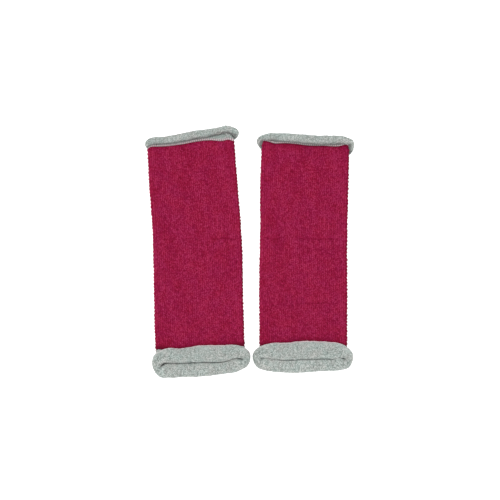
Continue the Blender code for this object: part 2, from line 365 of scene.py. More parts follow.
def placed(w, x, y, z):
    """From the flattened tube's own x, y and height to the warmer's frame."""
    up, slope = lift(w, y)
    n = np.sqrt(1 + slope**2)
    return np.stack([x, y - z * slope / n, up + WALL / 2 + z / n], -1)


def spine(w, y):
    share = np.clip(y / w["length"], 0.0, 1.0)
    return lookup(w["spine"], share, 1), lookup(w["spine"], share, 2)


def tube_points(w, share, along, out):
    """Points of the tube's wall: share round, along from one band line to the
    other, out from the middle of the wall."""
    low, high = lines(w, share)
    low = low + SEAM * (slant(w, "lower_line", share) - 0.5)
    high = high - SEAM * (slant(w, "upper_line", share) - 0.5)
    y = low + along * (high - low)
    centre, half = spine(w, y)
    x, z = section(share, half)
    nx, nz = across_normal(share, half)
    return placed(w, centre + x + out * nx, y, z + out * nz)


def roll(flat, deep, high, turn, steps):
    """The band in section: (along, away) of the middle of its wall, then the
    same for the direction of the side that ends up inside the roll, and the
    length of cloth up to each point."""
    angle = -0.5 * math.pi + np.radians(turn) * np.linspace(0, 1, steps + 1)
    small = 1 - TIGHTEN * (angle + 0.5 * math.pi) / (2 * math.pi)
    a = flat[:, None] + deep[:, None] * np.cos(angle) * small
    n = high[:, None] * (1 + np.sin(angle) * small)
    n = n - n[:, :1]
    begin = SEAM / 2 + (flat[:, None] - SEAM / 2) * np.array([0.0, 0.35, 0.7])
    a = np.concatenate([begin, a], 1)
    n = np.concatenate([0 * begin, n], 1)
    da, dn = np.gradient(a, axis=1), np.gradient(n, axis=1)
    size = np.hypot(da, dn)
    run = np.concatenate(
        [a[:, :1] * 0, np.cumsum(np.hypot(np.diff(a), np.diff(n)), 1)], 1
    )
    return a, n, -dn / size, da / size, run


def lip(w, share, line, a, fullness):
    """How far up the lower layer's band stands at the lower end, to meet the
    rim of the upper layer. Taken up to where the rim turns back."""
    above = 1 - np.mod(share, 1.0)
    flat, deep = (lookup(w["lower_rim"], above, k, True) for k in (1, 2))
    upper_line = lookup(w["lower_line"], above, 1, True)
    edge = (line - upper_line + flat + deep + WALL / 2)[:, None]
    inward = np.minimum(np.mod(share, 1.0) - 0.5, above)
    inward = smooth((inward - 0.004) / 0.036)[:, None]
    front = a.max(1, keepdims=True)
    rise = smooth((a - edge + 3.0) / 3.5)
    past = np.clip((a - edge - 0.5) / np.maximum(front - edge - 0.5, 0.1), 0, 1)
    before = np.arange(a.shape[1]) <= a.argmax(1)[:, None]
    return LIP * fullness * inward * rise * (1 - past**2) * before


def rim_points(w, end, share, out, steps):
    """Points of a rolled band's wall, a row for each place round the tube."""
    table = w[end + "_rim"]
    flat, deep, high = (lookup(table, share, k, True) for k in (1, 2, 3))
    a, n, ia, inn, run = roll(flat, deep, high, TURN[end], steps)
    low, top = lines(w, share)
    line, way = (low, -1.0) if end == "lower" else (top, 1.0)
    share = share[:, None]
    y = line[:, None] + way * (a + out * ia)
    centre, half = spine(w, line[:, None] + 0 * a)
    x, z = section(share + 0 * a, half)
    gx, gz = across_normal(share + 0 * a, half)
    rx, rz = rim_direction(w, share + 0 * a, end)
    t = smooth(run / np.minimum(flat, 6.0)[:, None])
    dx, dz = gx * (1 - t) + rx * t, gz * (1 - t) + rz * t
    size = np.hypot(dx, dz)
    away = n + out * inn
    narrow = w["narrow"][0 if end == "lower" else 1]
    x = x * (1 - narrow / half * smooth(run / flat[:, None]))
    puff = lip(w, share[:, 0], line, a, 1.0) if end == "lower" else 0.0
    p = placed(w, centre + x + away * dx / size, y, z + away * dz / size + puff)
    floor = 0.0 if out < 0 else 0.85 * WALL
    p[..., 2] = np.maximum(p[..., 2], floor)
    return p


def round_shares(w):
    """The places round the tube that the mesh uses."""
    half = w["spine"][3][2]
    flat = half - WALL / 2 - FOLD_R
    total = 4 * flat + 2 * math.pi * FOLD_R
    fold = math.pi * FOLD_R / total
    straight = 2 * flat / total
    upper = [fold / 2 + straight * k for k in ACROSS]
    right = [0.5 - fold / 2 + fold * k / FOLD_STEPS for k in range(FOLD_STEPS)]
    lap = upper + right
    return np.array(lap + [k + 0.5 for k in lap])


# ---- the stitches ----
WALES = 88  # stitches round a warmer, 44 in each layer
COURSE = 1.45  # height of a course of stitches
FINE_WALES = (-2, 46)  # wales, from the left fold over the upper layer, with four samples
KNIT_HIGH = 0.50  # how far the legs of a stitch stand up on the right side
PURL_HIGH = 0.46  # the same for the bumps on the wrong side
ROLL_FINE = 120  # steps to which a roll is worked out before its courses are placed
BESIDE = 2.3  # how far the lower bands stand over the tubes beside them
# Painted shade: BEHIND darkens the upper bands under their rolls, and DIM_HIGH the tubes by the upper
# bands.
BEHIND = {"left": 0.42, "right": 0.60}  # how much darker the upper bands are under their rolls
DIM_HIGH = {"left": 0.30, "right": 0.55}  # how much darker the tubes are by the upper bands
CREST = 0.887  # where the crest by the tube lies along a lower band, as a share of its cloth
FULLNESS = {"left": 1.24, "right": 1.65}  # how far the lower lips puff up to each other

# Soft creases in the cloth, in a warmer's frame: the layer, the crease's two
# ends (x, y), its depth and half its width. A plus depth goes down into the
# upper layer, and up into the lower one.
CREASES = {
    "left": (
        # layer, x0, y0, x1, y1, deep, wide
        ("upper", 12.0, 115.6, 47.0, 113.4, 0.66, 1.1),
        ("upper", -38.0, 117.2, 6.0, 116.0, 0.33, 1.4),
        ("upper", -38.0, 60.0, -30.0, 164.0, 0.14, 2.4),
        ("upper", 20.0, 40.0, 26.0, 98.0, 0.12, 2.6),
        ("upper", -20.0, 172.0, 22.0, 176.0, 0.14, 2.2),
        ("lower", -40.0, 96.0, 8.0, 101.0, 0.42, 1.3),
        ("lower", 4.0, 141.0, 44.0, 136.0, 0.36, 1.5),
        ("lower", -12.0, 62.0, -8.0, 128.0, 0.22, 2.4),
    ),
    "right": (
        ("upper", -36.0, 42.5, -15.5, 42.7, 0.45, 1.1),
        ("upper", -11.0, 45.0, 34.5, 45.4, 0.45, 1.1),
        ("upper", -35.4, 14.0, -35.8, 80.0, 0.26, 1.0),
        ("upper", 33.2, 18.0, 33.0, 84.0, 0.24, 1.0),
        ("upper", -42.0, 113.6, -18.0, 114.0, 0.52, 1.2),
        ("upper", -12.0, 114.4, 34.0, 113.4, 0.54, 1.2),
        ("upper", -24.0, 132.0, 30.0, 137.0, 0.13, 2.4),
        ("upper", 6.0, 96.0, 12.0, 160.0, 0.12, 2.6),
        ("lower", -34.0, 118.0, 20.0, 121.0, 0.42, 1.3),
        ("lower", -4.0, 72.0, 38.0, 70.0, 0.36, 1.4),
        ("lower", 18.0, 84.0, 22.0, 150.0, 0.20, 2.4),
    ),
}


# The colours meet a little further along than the solids do in places, by share
# of the way round.
MEET = {
    "left": {
        "lower": ((0.00, 0.0), (0.10, 0.0), (0.25, 0.0), (0.40, 0.0), (0.75, 0.0)),
        "upper": ((0.00, -0.2), (0.10, -0.3), (0.25, -0.5), (0.40, -0.4), (0.50, 0.0), (0.75, 0.0)),
    },
    "right": {
        "lower": ((0.00, 0.0), (0.10, 0.0), (0.25, 0.0), (0.40, 0.0), (0.75, 0.0)),
        "upper": (
            (0.000, 2.0),
            (0.006, 3.9),
            (0.014, 4.0),
            (0.025, 2.7),
            (0.040, 1.0),
            (0.060, -0.2),
            (0.130, 0.4),
            (0.190, 0.4),
            (0.260, -0.4),
            (0.370, 0.3),
            (0.430, -0.1),
            (0.462, 0.2),
            (0.487, 3.0),
            (0.496, 3.2),
            (0.503, 1.6),
            (0.520, 0.0),
            (0.750, 0.0),
            (0.980, 0.0),
        ),
    },
}


# Where the loose edge of a rim lies further back from the tube, or nearer, than
# the solid's, and where its far side does, by share of the way round.
EDGES = {
    "left": {
        "lower": (
            # share, loose edge, far side
            (0.00, 0.0, 1.2),
            (0.03, 0.0, -0.8),
            (0.06, 0.0, 0.3),
            (0.10, 0.0, 0.0),
            (0.44, 0.0, -0.2),
            (0.47, 0.0, -1.4),
            (0.485, 0.0, -2.6),
            (0.50, 0.0, -2.4),
            (0.507, 0.0, -0.2),
            (0.515, 0.0, 0.6),
            (0.53, 0.0, -0.3),
            (0.55, 0.0, 0.1),
            (0.62, 0.0, 0.7),
            (0.72, 0.0, 0.8),
            (0.80, 0.0, 0.8),
            (0.88, 0.0, 0.3),
            (0.93, 0.0, -0.2),
            (0.945, 0.0, -0.6),
            (0.965, 0.0, 1.0),
            (0.980, 0.0, 2.6),
        ),
        "upper": ((0.00, 0.0, 0.0), (0.25, 0.0, 0.0), (0.50, 0.0, 0.0), (0.75, 0.0, 0.0)),
    },
    "right": {
        "lower": (
            (0.000, 0.0, -3.6),
            (0.010, 0.0, -4.4),
            (0.020, 0.0, -3.8),
            (0.032, 0.0, -2.0),
            (0.045, 0.0, -0.7),
            (0.066, 0.0, 0.9),
            (0.100, 0.0, 0.9),
            (0.135, 0.0, 0.2),
            (0.200, 0.0, 0.7),
            (0.340, 0.0, 0.7),
            (0.390, 0.0, 0.0),
            (0.450, 0.0, -0.3),
            (0.472, 0.0, -1.6),
            (0.484, 0.0, -3.2),
            (0.500, 0.0, -2.8),
            (0.507, 0.0, -0.6),
            (0.515, 0.0, 0.9),
            (0.530, 0.0, 0.2),
            (0.562, 0.0, -0.5),
            (0.600, 0.0, 0.2),
            (0.700, 0.0, 0.4),
            (0.800, 0.0, 0.8),
            (0.900, 0.0, 0.2),
            (0.925, 0.0, -0.2),
            (0.945, 0.0, -0.8),
            (0.968, 0.0, 0.2),
            (0.985, 0.0, 0.8),
            (0.993, 0.0, -0.8),
        ),
        "upper": (
            (0.000, 1.0, 0.0),
            (0.006, 2.6, 0.0),
            (0.014, 2.8, 0.0),
            (0.025, 1.4, 0.0),
            (0.040, 0.4, 0.0),
            (0.060, 0.35, 0.0),
            (0.250, 0.35, 0.0),
            (0.450, 0.35, 0.0),
            (0.475, 0.8, 0.0),
            (0.487, 2.6, 0.0),
            (0.496, 3.0, 0.0),
            (0.502, 0.5, 0.0),
            (0.512, -3.4, 0.0),
            (0.540, -2.0, 0.0),
            (0.580, 0.0, 0.0),
            (0.750, 0.0, 0.0),
            (0.980, 0.0, 0.0),
        ),
    },
}


def meet(side, end, share):
    """How far beyond the solid's band line the band begins."""
    return lookup(MEET[side][end], share, 1, True)


def swell(seed, x, y, reach, depth=1.0):
    """Gentle, uneven waves about reach across, between about -1 and 1."""
    rng = np.random.default_rng(seed)
    total = 0.0 * x
    for k in range(7):
        angle = rng.uniform(0, math.pi)
        size = reach * rng.uniform(0.7, 1.6)
        phase = rng.uniform(0, 2 * math.pi)
        along = (x * math.cos(angle) + y * math.sin(angle)) * 2 * math.pi / size
        total = total + np.sin(along + phase)
    return depth * total / 4.2


def creased(side, layer, x, y):
    """Depth of the cloth's creases at each point of one layer."""
    total = 0.0 * x
    for number, (where, x0, y0, x1, y1, deep, wide) in enumerate(CREASES[side]):
        if where != layer:
            continue
        dx, dy = x1 - x0, y1 - y0
        size = math.hypot(dx, dy)
        along = ((x - x0) * dx + (y - y0) * dy) / size
        off = ((y - y0) * dx - (x - x0) * dy) / size
        off = off + 0.5 * np.sin(along * 0.31 + number) + 0.3 * np.sin(along * 0.83 + 2 * number)
        ends = smooth(along / 7.0) * smooth((size - along) / 7.0)
        uneven = 0.8 + 0.2 * np.sin(along * 0.45 + 1.7 * number)
        valley = np.exp(-((off / wide) ** 2))
        lips = np.exp(-(((np.abs(off) - 2.1 * wide) / wide) ** 2))
        total = total + deep * ends * uneven * (valley - 0.35 * lips)
    return total


def wale_samples(first, last):
    """The places round the tube of the columns of points, with each one's wale,
    and its place across that wale: four to a wale from first to last and two
    to a wale elsewhere."""
    wale, across = [], []
    for k in range(WALES):
        fine = k < last or k >= WALES + first
        for u in (0.0, 0.25, 0.5, 0.75) if fine else (0.0, 0.5):
            wale.append(k)
            across.append(u)
    wale, across = np.array(wale), np.array(across)
    return (wale + across) / WALES, wale, across


def leg_height(across, row):
    """Height of plain stitches' legs, 0 to 1, where row counts half courses."""
    base = np.interp(across, (0, 0.25, 0.5, 0.75, 1), (0.0, 0.95, 0.62, 0.95, 0.0))
    return base * np.where(row % 2 == 0, 1.0, 0.45)


def bump_height(across, row):
    """Height of the bumps on the wrong side, 0 to 1."""
    ridge = np.interp(across, (0, 0.25, 0.5, 0.75, 1), (0.2, 0.8, 1.0, 0.8, 0.2))
    between = np.interp(across, (0, 0.25, 0.5, 0.75, 1), (1.0, 0.5, 0.1, 0.5, 1.0))
    return np.where(row % 2 == 0, ridge, between)


def zigzag(across):
    """How far along a course a stitch's legs lean, as a share of the course."""
    return 0.36 * np.abs(2 * across - 1) - 0.14


def uneven(seed, wale, row):
    """A value from -1 to 1 for every stitch."""
    rng = np.random.default_rng(seed)
    table = rng.uniform(-1, 1, (WALES, int(row.max()) // 2 + 2))
    return table[wale % WALES, (row // 2).astype(int)]


def tube_grid(side, w, samples, rows, out_side, seed):
    """One side of the tube's wall, as points [round, along] with each one's stitch height, 0 to 1,
    darkened by painted shade, its wale and course, and a tint that carries painted shade."""
    share, wale, across = samples
    fine = len(rows) > 100
    s, k = np.meshgrid(share, rows, indexing="ij")
    v, u = np.meshgrid(wale, rows, indexing="ij")[0], np.meshgrid(across, rows, indexing="ij")[0]
    last = rows.max()
    low, high = lines(w, s)
    low, high = low + meet(side, "lower", s), high + meet(side, "upper", s)
    lean = zigzag(u) * COURSE * (1.0 if fine else 0.0)
    y = low + k / last * (high - low)
    y = y + lean
    centre, half = spine(w, y)
    x, z = section(s, half)
    nx, nz = across_normal(s, half)
    flat = half - WALL / 2 - FOLD_R
    upper = (np.mod(s, 1.0) > 0) & (np.mod(s, 1.0) < 0.5)
    inward = smooth((flat - np.abs(x)) / 9.0)
    if fine:
        height = leg_height(u, k)
        height = height * (1 + 0.25 * uneven(seed, v, k))
    else:
        height = 0.5 + 0 * s
    out = np.full_like(s, out_side * WALL / 2)
    if out_side > 0:
        out = out + KNIT_HIGH * (height - 0.42)
    # Soft waves and creases of the cloth.
    wave = 0.30 + swell(seed + 1, x, y, 46.0, 0.30) + swell(seed + 2, x, y, 17.0, 0.07)
    dent = np.where(upper, creased(side, "upper", x, y), -creased(side, "lower", x, y))
    lifted = np.where(upper, wave, 0.0) * inward - dent * smooth((flat + 1.0 - np.abs(x)) / 3.0)
    # The side folds are a little scalloped by the courses.
    fold = np.exp(-((np.minimum(np.mod(s, 0.5), 0.5 - np.mod(s, 0.5)) * WALES * 2.01 / 1.6) ** 2))
    wobble = 0.42 * np.sin(2 * math.pi * y / 3.7 + 1.3 * np.sin(y / 9.0 + seed)) + swell(
        seed + 3, y, 0 * y, 6.0, 0.30
    )
    out = out + fold * wobble
    x = x + 0.06 * uneven(seed + 4, v, k) * (1.0 if fine else 0.0)
    p = placed(w, centre + x + out * nx, y, z + out * nz + lifted)
    p[..., 2] = np.maximum(p[..., 2], 0.03 if out_side > 0 else 0.8)
    # Painted shade: the colour is darker down in the creases.
    shade = height - 0.60 * np.clip(dent - 0.12, 0, 1) / 0.3 * (1.0 if fine else 0.0)
    tint_and_painted_shade = 0 * height
    # Painted shade where less light gets in: the colour is darker beside the bands, which stand higher,
    # and round the folds.
    if fine:
        by_low = np.maximum(y - low - BESIDE, 0.0)
        by_high = np.maximum(high - y, 0.0)
        shade = shade - 1.10 * np.exp(-by_low / 0.9) - 0.60 * np.exp(-by_low / 3.6)
        shade = shade - DIM_HIGH[side] * np.exp(-by_high / 1.3)
        # Painted light and shade as from a light a little to the left: the right-hand folds are painted
        # darker and the left-hand folds a little lighter.
        away = fold * np.where(np.abs(np.mod(s, 1.0) - 0.5) < 0.25, 1.0, 0.0)
        shade = shade - 0.85 * away + 0.15 * (fold - away)
        tint_and_painted_shade = -0.40 * np.exp(-by_low / 0.9) - 0.36 * away
        tint_and_painted_shade = tint_and_painted_shade - 0.5 * DIM_HIGH[side] * np.exp(-by_high / 1.0)
    return p, np.clip(shade, -0.9, 1.2), v + u, k / 2, tint_and_painted_shade


def puffed(w, share, line, a, far, fullness):
    """The lower lip, as lip gives it, and puffed up nearer to the folds, so that
    the slit closes there."""
    above = 1 - np.mod(share, 1.0)
    flat, deep = (lookup(w["lower_rim"], above, k, True) for k in (1, 2))
    upper_line = lookup(w["lower_line"], above, 1, True)
    edge = (line - upper_line + flat + deep + far + WALL / 2)[:, None]
    inward = np.minimum(np.mod(share, 1.0) - 0.5, above)
    inward = smooth((inward + 0.012) / 0.032)[:, None]
    front = a.max(1, keepdims=True)
    rise = smooth((a - edge + 3.0) / 3.5)
    past = np.clip((a - edge - 0.5) / np.maximum(front - edge - 0.5, 0.1), 0, 1)
    before = np.arange(a.shape[1]) <= a.argmax(1)[:, None]
    return LIP * fullness * inward * rise * (1 - past**2) * before


def cuff_grid(side, w, end, samples, rows, out_side, seed):
    """One side of a rolled band's wall, in the same form. Rows are even steps
    along the cloth, from the band line to its loose edge."""
    share, wale, across = samples
    table = w[end + "_rim"]
    flat, deep, high = (lookup(table, share, c, True) for c in (1, 2, 3))
    loose, far = (lookup(EDGES[side][end], share, c, True) for c in (1, 2))
    flat, deep = flat + (loose + far) / 2, deep - (loose - far) / 2
    a0, n0, ia0, inn0, run0 = roll(flat, deep, high, TURN[end], ROLL_FINE)
    count = len(rows)
    want = run0[:, -1:] * np.linspace(0, 1, count)
    a, n, ia, inn, run = (np.empty((len(share), count)) for _ in range(5))
    for i in range(len(share)):
        for values, target in ((a0, a), (n0, n), (ia0, ia), (inn0, inn), (run0, run)):
            target[i] = np.interp(want[i], run0[i], values[i])
    s = share[:, None] + 0 * a
    k = rows[None, :] + 0 * a
    v, u = wale[:, None] + 0 * k.astype(int), across[:, None] + 0 * a
    low, top = lines(w, share)
    line, way = (low, -1.0) if end == "lower" else (top, 1.0)
    # Where the colours meet further along, the first part of the band is shorter.
    further = (way * meet(side, end, share))[:, None]
    a = a + np.clip(further, -5, 5) * (1 - smooth(run / flat[:, None]))
    if out_side > 0:
        height = leg_height(u, k) * (1 + 0.25 * uneven(seed, v.astype(int), k.astype(int)))
        out = WALL / 2 + 0.8 * KNIT_HIGH * (height - 0.42)
    else:
        height = bump_height(u, k) * (1 + 0.30 * uneven(seed, v.astype(int), k.astype(int)))
        out = -WALL / 2 - PURL_HIGH * (height - 0.45)
    # The first row is tucked into the tube, and the loose edge thins out.
    thin = np.interp(k, (0, 1, 2), (0.55, 0.9, 1.0))
    thin = thin * np.interp(count - 1 - k, (0, 1, 2), (0.6, 0.9, 1.0))
    out = out * thin
    shade, tint_and_painted_shade = height, 0.0 * height
    tooth = np.abs(2 * u - 1)
    if end == "upper" and out_side > 0:
        # The first course stands up as a row of small teeth, part pink, painted lighter on the teeth and
        # darker in the gaps between them, painted highlight and painted shade; behind it the band is
        # painted dark under the roll, painted shade.
        first = np.exp(-((k - 0.6) / 1.6) ** 2)
        out = out + 0.50 * first * (0.4 + 0.6 * tooth)
        under = (flat - 0.92 * deep)[:, None]
        behind = smooth((run - under + (1.3 if side == "left" else 1.8)) / 1.1)
        shade = shade * (1 - first) + first * (2.4 * tooth - 0.9)
        shade = shade - 1.3 * behind * (1 - first)
        tint_and_painted_shade = first * (1.45 * tooth - 0.35) * (1 - 0.4 * behind)
        tint_and_painted_shade = tint_and_painted_shade - BEHIND[side] * behind * (1 - 0.6 * first)
    if end == "upper" and out_side < 0:
        # Painted shade: the underside of the roll, by its loose edge, is painted dark as well.
        near = smooth((k - (count - 1 - 5.5)) / 3.0)
        shade = shade - 1.3 * near
        tint_and_painted_shade = -0.30 * near
    if end == "lower" and out_side < 0:
        # Wool of both colours lies along the crest by the tube, as a pale pink painted lighter than
        # either yarn, partly a painted highlight.
        crest = np.exp(-(((run / np.maximum(run[:, -1:], 1.0)) - CREST) / 0.022) ** 2)
        tint_and_painted_shade = 0.90 * crest * np.where(np.mod(share, 1.0)[:, None] < 0.5, 1.0, 0.0) * (0.4 + 0.6 * tooth)
    lean = way * zigzag(u) * COURSE * np.interp(k, (0, count - 1), (1.0, 0.5))
    tuck = np.interp(k, (0, 1), (-0.3, 0.0))
    # A band bulges and sinks a little along the mouth.
    breadth = share * WALES * 2.01
    puff = swell(seed + 2, breadth, 0 * breadth, 13.0, 0.22)[:, None]
    puff = puff * smooth((run - flat[:, None] * 0.5) / 6.0)
    y = line[:, None] + way * (a + tuck + (out - puff) * ia)
    y = y + np.where(np.abs(inn) > 0.5, 1, np.abs(inn) * 2) * lean * np.where(k < 3, 1.0, 0.35)
    centre, half = spine(w, line[:, None] + 0 * a)
    x, z = section(s, half)
    gx, gz = across_normal(s, half)
    rx, rz = rim_direction(w, s, end)
    t = smooth(run / np.minimum(flat, 6.0)[:, None])
    dx, dz = gx * (1 - t) + rx * t, gz * (1 - t) + rz * t
    size = np.hypot(dx, dz)
    away = n + (out - puff) * inn
    narrow = w["narrow"][0 if end == "lower" else 1]
    x = x * (1 - narrow / half * smooth(run / flat[:, None]))
    raised = 0.0
    if end == "lower":
        far_above = lookup(EDGES[side][end], 1 - np.mod(share, 1.0), 2, True)
        raised = puffed(w, share, line, a, far_above, FULLNESS[side])
    p = placed(w, centre + x + away * dx / size, y, z + away * dz / size + raised)
    p[..., 2] = np.maximum(p[..., 2], 0.03 if out_side < 0 else 0.85 * WALL)
    return p, np.clip(shade, -0.9, 1.5), v + u, k / 2, np.clip(tint_and_painted_shade, -1, 1)


def shell(name, outer, inner, turn, move, material):
    """A closed wall from two grids, with its stitch heights and its tint, both carrying painted shade,
    and its two UV maps: OFBake, laid out in strips, and stitches, which counts wales and courses."""
    grids = (outer, inner)
    points = np.concatenate([g[0].reshape(-1, 3) for g in grids]) @ turn.T + move
    relief_and_painted_shade = np.concatenate([g[1].ravel() for g in grids])
    tint_and_painted_shade = np.concatenate([g[4].ravel() for g in grids])
    rounds, rows = outer[0].shape[:2]
    rows_in = inner[0].shape[1]
    half = rounds * rows
    quads, bake, stitch = [], [], []

    def patch(first, rows_here, height0, height1, grid, flip):
        i, k = np.meshgrid(np.arange(rounds), np.arange(rows_here - 1), indexing="ij")
        i, k = i.ravel(), k.ravel()
        j = (i + 1) % rounds
        a, b = first + i * rows_here + k, first + j * rows_here + k
        order = (a, b, b + 1, a + 1)
        u0, u1 = i / rounds, (i + 1) / rounds
        v0 = height0 + (height1 - height0) * k / (rows_here - 1)
        v1 = height0 + (height1 - height0) * (k + 1) / (rows_here - 1)
        flatmap = [(u0, v0), (u1, v0), (u1, v1), (u0, v1)]
        across, course = grid[2], grid[3]
        lap = np.where(j == 0, WALES, 0.0)
        counts = [
            (across[i, k], course[i, k]),
            (across[j, k] + lap, course[j, k]),
            (across[j, k + 1] + lap, course[j, k + 1]),
            (across[i, k + 1], course[i, k + 1]),
        ]
        if flip:
            order, flatmap, counts = order[::-1], flatmap[::-1], counts[::-1]
        quads.append(np.stack(order, 1))
        bake.append(np.stack([np.stack(q, -1) for q in flatmap], 1))
        stitch.append(np.stack([np.stack(q, -1) for q in counts], 1))

    def cap(row, row_in, height0, height1, flip):
        i = np.arange(rounds)
        j = (i + 1) % rounds
        order = (
            i * rows + row,
            half + i * rows_in + row_in,
            half + j * rows_in + row_in,
            j * rows + row,
        )
        u0, u1 = i / rounds, (i + 1) / rounds
        flatmap = [
            (u0, height0 + 0 * u0),
            (u0, height1 + 0 * u0),
            (u1, height1 + 0 * u0),
            (u1, height0 + 0 * u0),
        ]
        across, course = outer[2][:, row], outer[3][:, row]
        lap = np.where(j == 0, WALES, 0.0)
        counts = [
            (across[i], course[i]),
            (across[i], course[i] + 0.5),
            (across[j] + lap, course[j] + 0.5),
            (across[j] + lap, course[j]),
        ]
        if flip:
            order, flatmap, counts = order[::-1], flatmap[::-1], counts[::-1]
        quads.append(np.stack(order, 1))
        bake.append(np.stack([np.stack(q, -1) for q in flatmap], 1))
        stitch.append(np.stack([np.stack(q, -1) for q in counts], 1))

    split = 0.80 if rows_in < rows / 2 else 0.485
    patch(0, rows, 0.004, split, outer, False)
    patch(half, rows_in, split + 0.006, 0.972, inner, True)
    cap(0, 0, 0.976, 0.984, False)
    cap(rows - 1, rows_in - 1, 0.988, 0.996, True)
    quads = np.concatenate(quads)
    mesh = bpy.data.meshes.new(name)
    mesh.vertices.add(len(points))
    mesh.vertices.foreach_set("co", (points * MM).astype(np.float32).ravel())
    mesh.loops.add(quads.size)
    mesh.loops.foreach_set("vertex_index", quads.astype(np.int32).ravel())
    mesh.polygons.add(len(quads))
    mesh.polygons.foreach_set("loop_start", (np.arange(len(quads)) * 4).astype(np.int32))
    mesh.polygons.foreach_set("loop_total", np.full(len(quads), 4, np.int32))
    mesh.update(calc_edges=True)
    for title, values in (("OFBake", bake), ("stitches", stitch)):
        layer = mesh.uv_layers.new(name=title)
        layer.data.foreach_set("uv", np.concatenate(values).astype(np.float32).ravel())
    mesh.uv_layers["OFBake"].active = True
    for title, values in (("relief_and_painted_shade", relief_and_painted_shade), ("tint_and_painted_shade", tint_and_painted_shade)):
        mesh.attributes.new(title, "FLOAT", "POINT").data.foreach_set(
            "value", values.astype(np.float32)
        )
    mesh.materials.append(material)
    mesh.shade_smooth()
    mesh.validate()
    piece = bpy.data.objects.new(name, mesh)
    bpy.context.scene.collection.objects.link(piece)
    return piece


# ---- finish ----
def add(tree, kind, **settings):
    made = tree.nodes.new(kind)
    for key, value in settings.items():
        setattr(made, key, value)
    return made


def maths(tree, operation, first, second, clamp=False):
    made = add(tree, "ShaderNodeMath", operation=operation, use_clamp=clamp)
    for socket, value in zip(made.inputs, (first, second)):
        if isinstance(value, (int, float)):
            socket.default_value = value
        else:
            tree.links.new(value, socket)
    return made.outputs[0]


